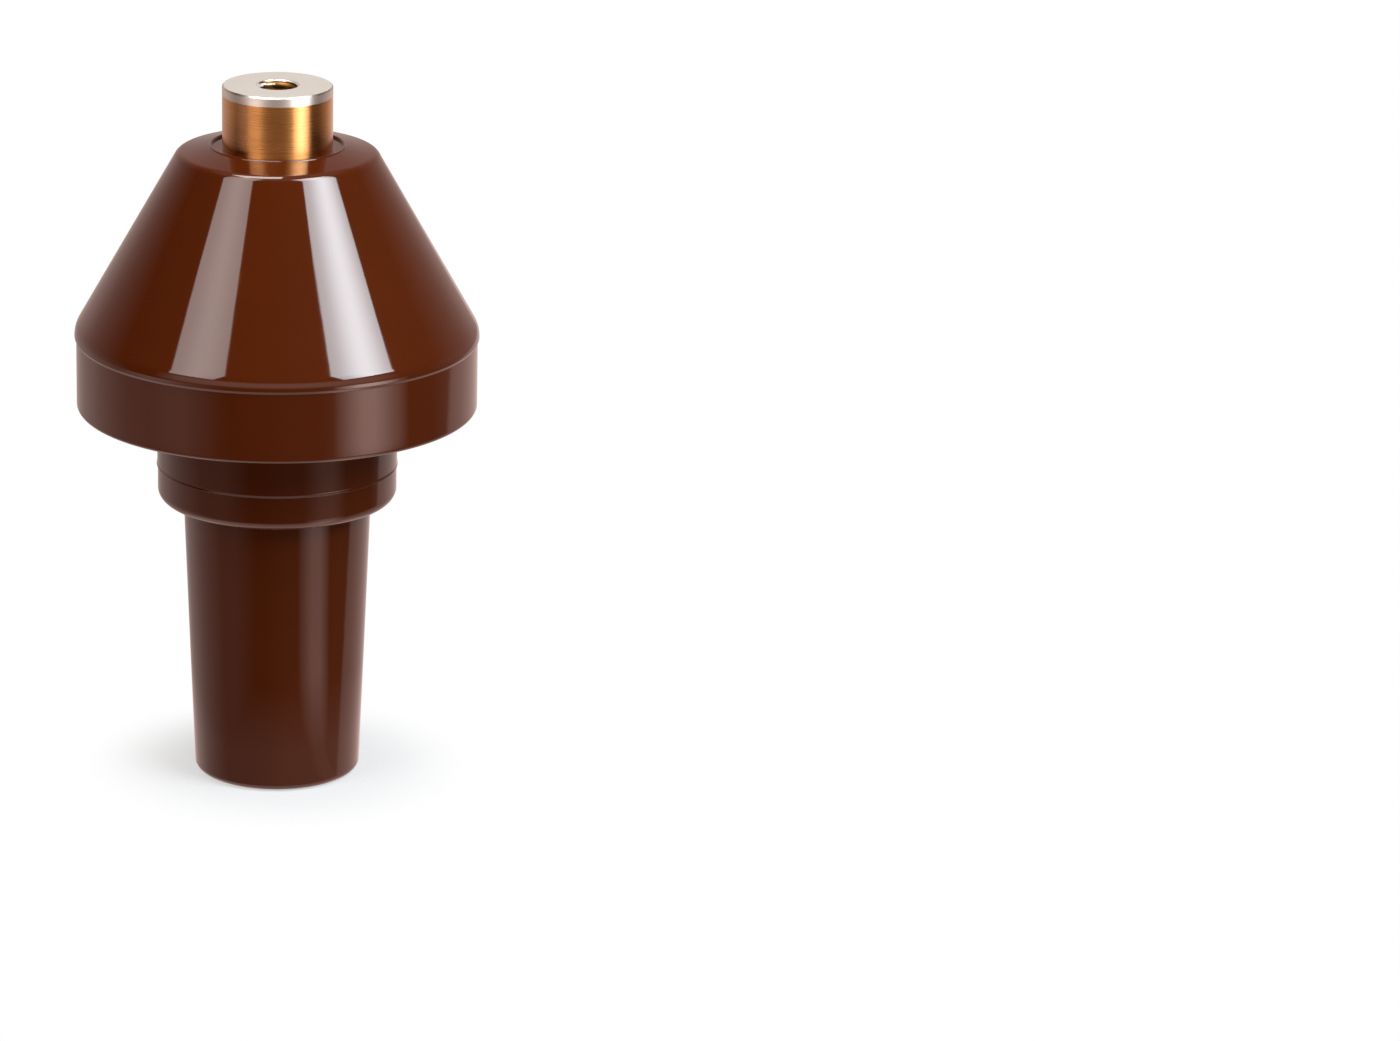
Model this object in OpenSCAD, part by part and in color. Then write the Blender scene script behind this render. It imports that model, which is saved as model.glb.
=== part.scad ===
// Cone bushing: a cast resin insulator with a copper conductor bar right through it.
// It stands on the end of its spigot. The axis is Z, and the end face of the spigot is at Z = 0.
// Millimetres.

/* [Conductor bar] */
// Diameter of the copper bar
bar_d = 32; // [28:0.5:36]
// Length of the bar above the lip of the recess round it
stud_h = 17.5; // [14:0.1:30]
// Bevel on the edge of each end of the bar
bar_bevel = 0.4; // [0.2:0.1:0.8]
// Depth of the turned grooves that lock the bar in the resin
key_depth = 0.8; // [0.4:0.1:1.5]
// Width of each turned groove
key_w = 6; // [3:0.5:8]
// Number of turned grooves
key_count = 4; // [2:1:6]
// Core diameter of the tapped hole in the top end
top_tap_d = 10.2; // [8:0.1:11]
// Depth of full thread in the top end
top_tap_depth = 26; // [15:1:35]
// Diameter of the countersink at the mouth of the top hole
top_sink_d = 12.5; // [12:0.1:15]
// Core diameter of the tapped hole in the foot end
foot_tap_d = 14; // [10:0.1:15]
// Depth of full thread in the foot end
foot_tap_depth = 34; // [20:1:40]
// Diameter of the countersink at the mouth of the foot hole
foot_sink_d = 16.2; // [16:0.1:20]
// Point angle of the drills
drill_point = 118; // [90:1:140]

/* [Silver plating] */
// Thickness of the silver layer
plating_t = 0.1; // [0.05:0.01:0.3]
// Height of the plated band on the side of each end
plating_band = 2.8; // [1.5:0.1:6]

/* [Cone] */
// Angle between the side of the cone and the axis
cone_angle = 29.5; // [25:0.5:35]
// Slope of the crown, the shallow cone between the recess round the stud and the edge
crown_angle = 12; // [4:1:16]
// Diameter of the crown, up to where its edge begins to round
crown_d = 55.5; // [50:0.5:58]
// Radius of the edge between the crown and the side of the cone
crown_edge_r = 3; // [1.5:0.5:6]
// Radius of the shoulder where the cone meets the rim
shoulder_r = 8; // [3:0.5:10]
// Diameter of the shallow recess round the stud
well_d = 37.8; // [36:0.1:42]
// Depth of the recess round the stud, from the top of its lip
well_depth = 0.7; // [0.7:0.1:3]
// Radius of the lip round the recess
well_lip_r = 0.5; // [0.3:0.1:0.6]
// How far the lip stands up from the crown
well_lip_h = 0.25; // [0.1:0.05:0.3]

/* [Rim and flange] */
// Height of the rim from its lower face to the mould line at its widest place
rim_h = 21.5; // [19:0.5:30]
// How far the mould line stands out from the side of the rim
rim_step = 0.5; // [0.2:0.1:1]
// Height of the slope below the mould line
rim_step_h = 0.8; // [0.3:0.1:1.5]
// Width of the lower face of the rim
lip_w = 4; // [3:0.1:6]
// Radius of the outer lower edge of the rim
rim_edge_r = 1.2; // [0.5:0.1:1.8]
// Width of the ledge inside the lip
ledge_w = 2.5; // [1:0.1:4]
// Depth of the ledge above the lower face of the rim
ledge_depth = 4; // [2:0.5:6]
// Width of the seal groove round the boss
groove_w = 3.9; // [2.5:0.1:5]
// Depth of the seal groove above the lower face of the rim
groove_depth = 10; // [7:0.5:14]
// How far the face of the boss lies behind the lower face of the rim
boss_recess = 1; // [0.5:0.1:2]
// Wall of resin between the inserts and the seal groove
boss_wall = 2.7; // [2:0.1:6]
// Radius of the small moulded edges of the flange
small_edge_r = 0.4; // [0.2:0.1:0.8]

/* [Collar] */
// Diameter of the collar
collar_d = 70; // [66:0.5:76]
// Length of the collar below the rim
collar_len = 28; // [20:0.5:60]
// Height of the mould line above the lower end of the collar
collar_line_h = 10.5; // [6:0.5:15]
// How much wider the collar is above its mould line, on the radius
collar_step = 0.15; // [0.05:0.05:0.4]
// Radius of the lower edge of the collar
collar_edge_r = 3.2; // [1:0.1:3.4]
// Radius of the fillet between the collar and the boss
root_r = 0.5; // [0.3:0.1:0.7]
// Width of the annular recess round the root of the spigot
seat_w = 3; // [2:0.1:3.5]
// Depth of the annular recess round the root of the spigot
seat_depth = 1.5; // [0.5:0.1:3]

/* [Spigot] */
// Length of the tapered spigot
spigot_len = 84; // [70:1:120]
// Diameter of the spigot at its root
spigot_root_d = 55; // [52:0.5:56]
// Diameter of the spigot at its end, before the edge is rounded
spigot_end_d = 48.6; // [44:0.2:52]
// Radius of the edge of the spigot's end
spigot_edge_r = 2.2; // [1:0.1:4]
// How far the end of the bar lies behind the end face of the spigot
bar_recess = 0.5; // [0.3:0.1:2]
// Width of the narrow gap round the end of the bar
foot_gap_w = 0.3; // [0.2:0.1:0.6]
// Depth of the narrow gap round the end of the bar
foot_gap_depth = 0.5; // [0.3:0.1:1]

/* [Threaded inserts] */
// Number of inserts
insert_count = 6; // [4:1:8]
// Outer diameter of an insert
insert_d = 9.4; // [8.6:0.1:10.4]
// Clear resin between the collar and each insert
insert_gap = 0.8; // [0.8:0.1:3]
// Length of an insert
insert_len = 15; // [13:0.5:18]
// How far an insert stands out of the face of the boss
insert_proud = 0.15; // [0:0.05:0.4]
// Height of the round head of an insert
insert_head_h = 2.5; // [1.5:0.5:4]
// Width across the flats of the body of an insert
insert_flats = 7.8; // [7:0.1:8]
// Diameter of the turned waist of an insert
insert_waist_d = 7; // [6.6:0.1:7.4]
// Width of the turned waist of an insert
insert_waist_w = 3; // [2:0.5:5]
// Core diameter of the thread in an insert
insert_tap_d = 5; // [4:0.1:5.2]
// Depth of the thread in an insert
insert_tap_depth = 11.5; // [8:0.5:12]
// Diameter of the countersink in the face of an insert
insert_sink_d = 6.2; // [6:0.1:7.2]

/* [Tap socket] */
// Length of the socket along the circle of inserts
socket_len = 11.8; // [10.4:0.2:14]
// Width of the socket
socket_w = 5.8; // [5.6:0.2:7.4]
// Depth of the socket's shell behind the face of the boss
socket_depth = 11; // [9:0.5:14]
// Radius of the round corners of the socket
socket_corner_r = 1.8; // [1:0.1:2.4]
// Distance of the socket's centre outside the circle of inserts
socket_out = 0.8; // [0:0.1:1.5]
// Width of the bevel round the socket in the face of the boss
socket_bevel = 0.4; // [0.2:0.1:0.6]
// Thickness of the shell's wall
socket_wall = 0.5; // [0.4:0.1:0.8]
// Thickness of the shell's floor
socket_floor = 1.2; // [0.8:0.1:2]
// Length of the contact block along the socket
block_len = 4.8; // [4:0.2:6]
// Thickness of the contact block
block_w = 2.6; // [2:0.1:3]
// Distance of the tip of the contact block from the face of the boss
block_tip = 5; // [4.6:0.1:6]
// Bevel on the tip of the contact block
block_bevel = 0.4; // [0.2:0.1:0.5]
// Width of a contact blade
contact_w = 1.2; // [0.8:0.1:1.6]
// Thickness of a contact blade
contact_t = 0.4; // [0.3:0.05:0.5]
// How far a contact blade is let into the side of the block
contact_inlay = 0.25; // [0.15:0.05:0.3]
// Distance of the end of a contact blade from the tip of the block
contact_tip = 0.8; // [0.5:0.1:1.5]
// Length of the tail of a contact blade behind the shell
contact_tail = 1.2; // [0.8:0.1:3]

/* [Voltage tap] */
// Outer diameter of the tap electrode
electrode_d = 60; // [54:0.5:64]
// Height of the tap electrode, between the centres of its beads
electrode_h = 24; // [16:1:30]
// Thickness of the tap electrode
electrode_t = 1; // [0.6:0.1:1.6]
// Diameter of the beads on the edges of the tap electrode
electrode_bead_d = 2.8; // [2:0.1:3.4]
// Diameter of the lead wires
lead_d = 1; // [0.6:0.1:1.2]
// Height of a lead's run above the end that it leaves
lead_rise = 2.5; // [2:0.1:5]
// Radius of the bends of a lead
lead_bend_r = 1.5; // [1:0.1:1.8]

/* [Hidden] */
$fn = 120;

// Steps of an arc in a turned outline
arc_steps = 10;
// Cuts run this far past the faces that they open
through = 1;
// Thickness of the two slices that the bevel of the socket is stretched between
skin = 0.01;
// Width of the mould line on the collar
collar_line_w = 0.5;

bar_r = bar_d / 2;
collar_low_r = collar_d / 2;
collar_top_r = collar_low_r + collar_step;
spigot_root_r = spigot_root_d / 2;
spigot_end_r = spigot_end_d / 2;

// Radii of the flange, from the collar outwards
insert_ring_r = collar_top_r + insert_gap + insert_d / 2;
boss_r = insert_ring_r + insert_d / 2 + boss_wall;
groove_r = boss_r + groove_w;
ledge_r = groove_r + ledge_w;
rim_r = ledge_r + lip_w;
ridge_r = rim_r + rim_step;

// Levels, from the end face of the spigot upwards
collar_z = spigot_len;
collar_line_z = collar_z + collar_line_h;
rim_z = collar_z + collar_len;
boss_z = rim_z + boss_recess;
ridge_z = rim_z + rim_h;

// The straight side of the cone touches the shoulder arc below and the edge arc above
shoulder_end = [
    ridge_r - shoulder_r * (1 - cos(cone_angle)),
    ridge_z + shoulder_r * sin(cone_angle)
];
edge_centre_r = crown_d / 2 - crown_edge_r * sin(crown_angle);
edge_start_r = edge_centre_r + crown_edge_r * cos(cone_angle);
edge_start_z = shoulder_end[1] + (shoulder_end[0] - edge_start_r) / tan(cone_angle);
edge_centre_z = edge_start_z - crown_edge_r * sin(cone_angle);
crown_edge_z = edge_centre_z + crown_edge_r * cos(crown_angle);

// The lip is a bead whose centre lies below the surface of the crown
lip_r = well_d / 2 + well_lip_r;
lip_sunk = well_lip_r - well_lip_h;
lip_z = crown_edge_z + (crown_d / 2 - lip_r) * tan(crown_angle) - lip_sunk / cos(crown_angle);
lip_foot_angle = 90 - crown_angle - acos(lip_sunk / well_lip_r);
cone_top_z = lip_z + well_lip_r;
bar_top_z = cone_top_z + stud_h;
bar_foot_z = bar_recess;
plating_corner = bar_bevel + plating_t * tan(22.5);

// The turned grooves are spread evenly over the length of bar in the resin
key_low_z = collar_z / 2;
key_high_z = (ridge_z + cone_top_z) / 2;
key_pitch = (key_high_z - key_low_z) / (key_count - 1);

// The socket lies midway between two inserts, on X
insert_step = 360 / insert_count;
insert_face_z = boss_z - insert_proud;
insert_top_z = insert_face_z + insert_len;
socket_r = insert_ring_r + socket_out;
shell_z = boss_z + socket_bevel;
socket_floor_z = boss_z + socket_depth - socket_floor;
socket_top_z = boss_z + socket_depth;
contact_x = block_w / 2 - contact_inlay + contact_t / 2;
tail_z = socket_top_z + contact_tail;
signal_z = tail_z + lead_rise;
earth_z = max(tail_z, insert_top_z) + lead_rise;
first_insert = [
    insert_ring_r * cos(insert_step / 2),
    insert_ring_r * sin(insert_step / 2)
];

// Points along an arc of an outline, from one angle to another
function arc(centre, radius, from, to) = [
    for (i = [0 : arc_steps])
        let (a = from + (to - from) * i / arc_steps)
            [centre[0] + radius * cos(a), centre[1] + radius * sin(a)]
];

// Half of the taper of the spigot's side, in degrees
function spigot_taper() = atan((spigot_root_r - spigot_end_r) / spigot_len);

// Radius of the spigot's side at a level
function spigot_r(z) = spigot_end_r + (spigot_root_r - spigot_end_r) * z / spigot_len;

// Outline of the spigot and of the recess round its root
function spigot_outline() = concat(
    [[bar_r + foot_gap_w, 0]],
    arc([spigot_end_r - spigot_edge_r, spigot_edge_r], spigot_edge_r, -90, -spigot_taper()),
    [
        [spigot_r(collar_z + seat_depth), collar_z + seat_depth],
        [spigot_root_r + seat_w, collar_z + seat_depth],
        [spigot_root_r + seat_w, collar_z]
    ]
);

// Outline of the collar, with its mould line and the fillet at the boss
function collar_outline() = concat(
    arc([collar_low_r - collar_edge_r, collar_z + collar_edge_r], collar_edge_r, -90, 0),
    [
        [collar_low_r, collar_line_z - collar_line_w / 2],
        [collar_top_r + collar_step, collar_line_z],
        [collar_top_r, collar_line_z + collar_line_w / 2]
    ],
    arc([collar_top_r + root_r, boss_z - root_r], root_r, 180, 90)
);

// Outline of the underside of the flange: boss, seal groove, ledge and lip
function flange_outline() = concat(
    arc([boss_r - small_edge_r, boss_z + small_edge_r], small_edge_r, -90, 0),
    arc([boss_r + small_edge_r, rim_z + groove_depth - small_edge_r], small_edge_r, 180, 90),
    arc([groove_r - small_edge_r, rim_z + groove_depth - small_edge_r], small_edge_r, 90, 0),
    arc([groove_r + small_edge_r, rim_z + ledge_depth + small_edge_r], small_edge_r, 180, 270),
    arc([ledge_r - small_edge_r, rim_z + ledge_depth - small_edge_r], small_edge_r, 90, 0),
    arc([ledge_r + small_edge_r, rim_z + small_edge_r], small_edge_r, 180, 270),
    arc([rim_r - rim_edge_r, rim_z + rim_edge_r], rim_edge_r, -90, 0)
);

// Outline of the rim's side, the cone, its crown and the recess round the stud
function cone_outline() = concat(
    [[rim_r, ridge_z - rim_step_h]],
    arc([ridge_r - shoulder_r, ridge_z], shoulder_r, 0, cone_angle),
    arc([edge_centre_r, edge_centre_z], crown_edge_r, cone_angle, 90 - crown_angle),
    arc([lip_r, lip_z], well_lip_r, lip_foot_angle, 180),
    [[well_d / 2, cone_top_z - well_depth]]
);

// Outline of the resin's bore, from the recess round the stud down to the gap at the foot
function bore_outline() = concat(
    [[bar_r, cone_top_z - well_depth]],
    [
        for (i = [key_count - 1 : -1 : 0], j = [3 : -1 : 0])
            key_outline(key_low_z + i * key_pitch)[j]
    ],
    [
        [bar_r, bar_foot_z + foot_gap_depth],
        [bar_r + foot_gap_w, bar_foot_z + foot_gap_depth]
    ]
);

// Outline of the bar without its holes, turned down at both ends for the plating
function bar_outline() = concat(
    [for (p = bar_end_outline()) [p[0], bar_foot_z + p[1]]],
    [for (i = [0 : key_count - 1], p = key_outline(key_low_z + i * key_pitch)) p],
    [for (i = [len(bar_end_outline()) - 1 : -1 : 0])
        [bar_end_outline()[i][0], bar_top_z - bar_end_outline()[i][1]]
    ]
);

// One end of the bar under its plating, as radius and distance from the plated end face
function bar_end_outline() = [
    [0, plating_t],
    [bar_r - plating_corner, plating_t],
    [bar_r - plating_t, plating_corner],
    [bar_r - plating_t, plating_band],
    [bar_r, plating_band]
];

// One turned groove of the bar, with sloping sides
function key_outline(z) = [
    [bar_r, z - key_w / 2 - key_depth],
    [bar_r - key_depth, z - key_w / 2],
    [bar_r - key_depth, z + key_w / 2],
    [bar_r, z + key_w / 2 + key_depth]
];

// Section of the plating at one end: a thin cup over the bevelled edge, open at the hole.
// Heights are below the end face.
function plating_outline(sink_d) = [
    [sink_d / 2, 0],
    [bar_r - bar_bevel, 0],
    [bar_r, -bar_bevel],
    [bar_r, -plating_band],
    [bar_r - plating_t, -plating_band],
    [bar_r - plating_t, -plating_corner],
    [bar_r - plating_corner, -plating_t],
    [sink_d / 2 - plating_t, -plating_t]
];

// Outline of the socket with its round corners, drawn in from its outer edge by an inset
function socket_outline(inset) =
    let (
        x = socket_w / 2 - socket_corner_r,
        y = socket_len / 2 - socket_corner_r,
        r = socket_corner_r - inset
    )
    concat(
        arc([x, -y], r, -90, 0),
        arc([x, y], r, 0, 90),
        arc([-x, y], r, 90, 180),
        arc([-x, -y], r, 180, 270)
    );

// Places its children at the socket, with X outwards from the axis
module at_socket() {
    translate([socket_r, 0, 0]) children();
}

// Places its children at an insert, numbered from 1
module at_insert(number) {
    rotate([0, 0, insert_step * (number - 0.5)])
        translate([insert_ring_r, 0, insert_face_z]) children();
}

// A lead that rises from Z = 0, bends over and runs along X for a given distance
module lead_run(rise, run) {
    cylinder(h = rise - lead_bend_r, d = lead_d);
    translate([lead_bend_r, 0, rise - lead_bend_r]) rotate([90, 0, 0]) lead_bend(90);
    translate([lead_bend_r, 0, rise]) rotate([0, 90, 0])
        cylinder(h = run - lead_bend_r, d = lead_d);
}

// A quarter bend of a lead round Z, starting at an angle
module lead_bend(start) {
    rotate([0, 0, start]) rotate_extrude(angle = 90)
        translate([lead_bend_r, 0]) circle(d = lead_d);
}

// A drilled hole with a pointed end and a countersunk mouth, going up from Z = 0
module tapped_hole(tap_d, depth, sink_d) {
    point_h = tap_d / 2 / tan(drill_point / 2);
    translate([0, 0, -through]) cylinder(h = depth + through, d = tap_d);
    translate([0, 0, depth]) cylinder(h = point_h, d1 = tap_d, d2 = 0);
    rotate_extrude()
        polygon([
            [0, -through],
            [sink_d / 2 + through, -through],
            [tap_d / 2, (sink_d - tap_d) / 2],
            [0, (sink_d - tap_d) / 2]
        ]);
}

// An insert without its hole, as the resin closes round it
module insert_blank() {
    cylinder(h = insert_head_h, d = insert_d);
    difference() {
        cylinder(h = insert_len, d = insert_flats / cos(30), $fn = 6);
        translate([0, 0, (insert_head_h + insert_len - insert_waist_w) / 2])
            difference() {
                cylinder(h = insert_waist_w, d = insert_d + through);
                translate([0, 0, -through])
                    cylinder(h = insert_waist_w + 2 * through, d = insert_waist_d);
            }
    }
}

// The room that the socket takes up in the resin, with a bevelled mouth
module socket_pocket() {
    at_socket() translate([0, 0, shell_z])
        linear_extrude(height = socket_top_z - shell_z) polygon(socket_outline(0));
    at_socket() hull() {
        translate([0, 0, shell_z]) linear_extrude(height = skin) polygon(socket_outline(0));
        translate([0, 0, boss_z - through])
            linear_extrude(height = skin) polygon(socket_outline(-socket_bevel - through));
    }
}

// A contact blade on the side of the block, at -1 towards the bar or 1 away from it
module contact_blade(side) {
    blade_z = boss_z + block_tip + contact_tip;
    at_socket() translate([side * contact_x - contact_t / 2, -contact_w / 2, blade_z])
        cube([contact_t, contact_w, tail_z - blade_z]);
}

// The tap electrode's rolled sheet with its beaded edges
module electrode_blank() {
    electrode_r = electrode_d / 2;
    rotate_extrude() {
        translate([electrode_r - electrode_t, signal_z - electrode_h / 2])
            square([electrode_t, electrode_h]);
        for (end = [-1, 1])
            translate([electrode_r - electrode_t / 2, signal_z + end * electrode_h / 2])
                circle(d = electrode_bead_d, $fn = 32);
    }
}

// Run of the signal lead from the tail of the inner contact in to the middle of the
// electrode's wall
module signal_run() {
    start_x = socket_r - contact_x;
    translate([start_x, 0, tail_z]) rotate([0, 0, 180])
        lead_run(lead_rise, start_x - electrode_d / 2 + electrode_t / 2);
}

// Lead from the tail of the outer contact over to the back of the first insert
module earth_wire() {
    start = [socket_r + contact_x, 0];
    way = first_insert - start;
    run = norm(way);
    translate([start[0], start[1], tail_z]) rotate([0, 0, atan2(way[1], way[0])]) {
        lead_run(earth_z - tail_z, run - lead_bend_r);
        translate([run - lead_bend_r, 0, earth_z - tail_z - lead_bend_r])
            rotate([90, 0, 0]) lead_bend(0);
        translate([run, 0, insert_top_z - tail_z])
            cylinder(h = earth_z - lead_bend_r - insert_top_z, d = lead_d);
    }
}

// Cast resin body: spigot, collar, flange, rim and cone in one casting
module resin_body() {
    color("#5a2410") difference() {
        rotate_extrude()
            polygon(concat(
                spigot_outline(), collar_outline(), flange_outline(), cone_outline(),
                bore_outline()
            ));
        for (number = [1 : insert_count]) at_insert(number) insert_blank();
        socket_pocket();
        contact_blade(-1);
        contact_blade(1);
        electrode_blank();
        signal_run();
        earth_wire();
    }
}

// Copper bar, turned down by the plating's thickness at both ends and tapped
module conductor() {
    color("#b87333") difference() {
        rotate_extrude() polygon(bar_outline());
        translate([0, 0, bar_top_z]) mirror([0, 0, 1])
            tapped_hole(top_tap_d, top_tap_depth, top_sink_d);
        translate([0, 0, bar_foot_z]) tapped_hole(foot_tap_d, foot_tap_depth, foot_sink_d);
    }
}

// Silver plating of the upper contact end
module top_plating() {
    color("#dcd6ce") translate([0, 0, bar_top_z])
        rotate_extrude() polygon(plating_outline(top_sink_d));
}

// Silver plating of the lower contact end
module foot_plating() {
    color("#dcd6ce") translate([0, 0, bar_foot_z]) mirror([0, 0, 1])
        rotate_extrude() polygon(plating_outline(foot_sink_d));
}

// One brass insert with a blind thread
module insert(number) {
    color("#d9b968") at_insert(number) difference() {
        insert_blank();
        tapped_hole(insert_tap_d, insert_tap_depth, insert_sink_d);
    }
}

// Moulded shell that lines the socket, with slots for the contacts in its floor
module socket_shell() {
    color("#1c1b1a") difference() {
        at_socket() translate([0, 0, shell_z])
            linear_extrude(height = socket_top_z - shell_z) polygon(socket_outline(0));
        at_socket() translate([0, 0, shell_z - through])
            linear_extrude(height = socket_floor_z - shell_z + through)
                polygon(socket_outline(socket_wall));
        contact_blade(-1);
        contact_blade(1);
    }
}

// Insulating block in the middle of the socket, with a bevelled tip and inlaid contacts
module contact_block() {
    tip_z = boss_z + block_tip;
    half = block_w / 2;
    color("#8d8c8a") difference() {
        at_socket() rotate([90, 0, 0]) translate([0, 0, -block_len / 2])
            linear_extrude(height = block_len)
                polygon([
                    [-half, socket_floor_z],
                    [-half, tip_z + block_bevel],
                    [-half + block_bevel, tip_z],
                    [half - block_bevel, tip_z],
                    [half, tip_z + block_bevel],
                    [half, socket_floor_z]
                ]);
        contact_blade(-1);
        contact_blade(1);
    }
}

// Inner contact blade, which carries the tap's signal
module signal_contact() {
    color("#d8b45a") contact_blade(-1);
}

// Outer contact blade, which is earthed
module earth_contact() {
    color("#d8b45a") contact_blade(1);
}

// Rolled sheet electrode round the bar, sealed in the resin, that feeds the socket
module tap_electrode() {
    color("#a9adb0") electrode_blank();
}

// Wire from the signal contact, ending on the wall of the tap electrode
module signal_lead() {
    color("#c98a4b") difference() {
        signal_run();
        electrode_blank();
    }
}

// Wire from the earth contact to the first insert
module earth_lead() {
    color("#c98a4b") earth_wire();
}

resin_body();
conductor();
top_plating();
foot_plating();
for (number = [1 : insert_count])
    insert(number);
socket_shell();
contact_block();
signal_contact();
earth_contact();
tap_electrode();
signal_lead();
earth_lead();
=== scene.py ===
"""Looks of the cone bushing: a glossy cast resin insulator on a turned copper bar.

The bushing stands on the end of its spigot. Its axis is Z, in metres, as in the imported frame.
Sizes below are in millimetres, and MM turns them to metres.
"""

import math

import bmesh
import bpy
from mathutils import Matrix, Vector


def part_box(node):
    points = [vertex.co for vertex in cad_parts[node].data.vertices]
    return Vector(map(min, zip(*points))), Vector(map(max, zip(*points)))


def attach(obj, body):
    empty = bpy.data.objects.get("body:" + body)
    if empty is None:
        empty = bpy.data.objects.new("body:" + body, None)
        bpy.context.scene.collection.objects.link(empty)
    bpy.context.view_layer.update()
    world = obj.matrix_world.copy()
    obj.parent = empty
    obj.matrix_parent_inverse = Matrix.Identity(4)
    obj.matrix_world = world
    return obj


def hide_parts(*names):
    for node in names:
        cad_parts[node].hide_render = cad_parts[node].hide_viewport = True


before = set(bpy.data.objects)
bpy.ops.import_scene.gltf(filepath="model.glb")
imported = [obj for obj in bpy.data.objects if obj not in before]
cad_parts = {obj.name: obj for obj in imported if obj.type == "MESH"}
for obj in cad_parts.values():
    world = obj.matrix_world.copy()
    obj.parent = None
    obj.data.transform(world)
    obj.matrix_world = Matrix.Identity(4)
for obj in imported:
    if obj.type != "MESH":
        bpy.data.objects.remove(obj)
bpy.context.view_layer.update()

scene = bpy.context.scene
MM = 0.001
BODY = "root"


# Levels and radii of the bushing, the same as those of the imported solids

def level(node, end):
    """Height of a solid's lowest (0) or highest (1) point, in mm."""
    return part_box(node)[end].z / MM


BAR_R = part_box("top_plating")[1].x / MM
BAR_TOP = level("top_plating", 1)
BAR_FOOT = level("foot_plating", 0)
PLATING_T = BAR_TOP - level("conductor", 1)
PLATING_BAND = BAR_TOP - level("top_plating", 0)
BAR_BEVEL = 0.4
TOP_SINK_R = 6.25
FOOT_SINK_R = 8.1

SPIGOT_END_R = 24.3
SPIGOT_ROOT_R = 27.5
COLLAR_Z = 84
COLLAR_R = 35
COLLAR_TOP_R = 35.15
COLLAR_LINE_Z = 94.5
RIM_Z = 112
BOSS_Z = 113
BOSS_R = 48.05
GROOVE_R = 51.95
GROOVE_Z = RIM_Z + 10
LEDGE_R = 54.45
LEDGE_Z = RIM_Z + 4
RIM_R = 58.45
RIDGE_R = 58.95
RIDGE_Z = 133.5
RIM_STEP_H = 0.8
SHOULDER_R = 8
CONE_ANGLE = math.radians(29.5)
CROWN_ANGLE = math.radians(12)
CROWN_R = 27.75
CROWN_EDGE_R = 3
CONE_TOP = level("resin_body", 1)
WELL_R = 18.9
WELL_Z = CONE_TOP - 0.7
WELL_LIP_R = 0.5
WELL_LIP_H = 0.25

INSERT_COUNT = 6
INSERT_RING_R = 40.65
INSERT_R = 4.7
INSERT_FACE = level("insert_1", 0)
INSERT_LEN = 15
SOCKET_R = 41.45
SOCKET_FACE = level("socket_shell", 0)
SOCKET_TOP = level("socket_shell", 1)
SOCKET_FLOOR = 122.8
BLOCK_TIP = level("contact_block", 0)

# Steps round the axis for the casting, for the bar and its threads, and for an insert
CASTING_STEPS = 192
BAR_STEPS = 96
INSERT_STEPS = 48
INSERT_ANGLES = [math.tau * i / INSERT_STEPS for i in range(INSERT_STEPS)]
# Points closer together than this are one point, in metres
WELD = 1e-6
# Nearly all values of a noise texture lie between these
NOISE_LOW, NOISE_HIGH = 0.3, 0.7


def linear(code):
    """Linear colour of an sRGB hex code."""
    channels = [int(code[i:i + 2], 16) / 255 for i in (1, 3, 5)]
    return [c / 12.92 if c <= 0.04045 else ((c + 0.055) / 1.055) ** 2.4 for c in channels] + [1]


def add(tree, kind, links=None, **settings):
    """Adds a node with its settings. Each link is an input and a node, a socket or a value."""
    node = tree.nodes.new(kind)
    for name, value in settings.items():
        setattr(node, name, value)
    for name, source in (links or {}).items():
        if isinstance(name, str):
            target = next(s for s in node.inputs if s.name == name and s.enabled)
        else:
            target = node.inputs[name]
        if isinstance(source, bpy.types.Node):
            source = next(s for s in source.outputs if s.enabled)
        if isinstance(source, bpy.types.NodeSocket):
            tree.links.new(source, target)
        else:
            target.default_value = source
    return node


# Outlines of turned parts: corners as (radius, height, radius of the rounding), in mm

def corner_arc(before, corner, after, radius):
    """Points of the rounding between two straight sides."""
    p = Vector(corner)
    a = (Vector(before) - p).normalized()
    b = (Vector(after) - p).normalized()
    half = a.angle(b) / 2
    turn = math.pi - 2 * half
    centre = p + (a + b).normalized() * (radius / math.sin(half))
    start = p + a * (radius / math.tan(half)) - centre
    side = 1 if a.x * b.y - a.y * b.x < 0 else -1
    step_degrees = 4 if radius > 1 else 10
    steps = max(3, round(math.degrees(turn) / step_degrees))
    return [
        centre + Matrix.Rotation(side * turn * i / steps, 2) @ start for i in range(steps + 1)
    ]


def bead(centre, radius, start, end):
    """Corners along an arc of an outline, from one angle to another."""
    steps = 10
    angles = [start + (end - start) * i / steps for i in range(steps + 1)]
    return [
        (centre[0] + radius * math.cos(a), centre[1] + radius * math.sin(a), 0) for a in angles
    ]


def outline(corners, closed=True):
    """Points of an outline with its corners rounded.

    A long side has a point close to each of its ends, so that its shading stays straight.
    """
    count = len(corners)
    runs = []
    for i, (x, z, radius) in enumerate(corners):
        if not radius:
            runs.append([Vector((x, z))])
            continue
        runs.append(corner_arc(corners[i - 1][:2], (x, z), corners[(i + 1) % count][:2], radius))
    hold = 0.15
    long_side = 6 * hold
    points = []
    for i, run in enumerate(runs):
        points += run
        if i == count - 1 and not closed:
            break
        following = runs[(i + 1) % count][0]
        side = following - run[-1]
        if side.length > long_side:
            points.append(run[-1] + side.normalized() * hold)
            points.append(following - side.normalized() * hold)
    if closed:
        points.append(points[0])
    return points


# Trees that make the shapes which follow a rule

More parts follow.
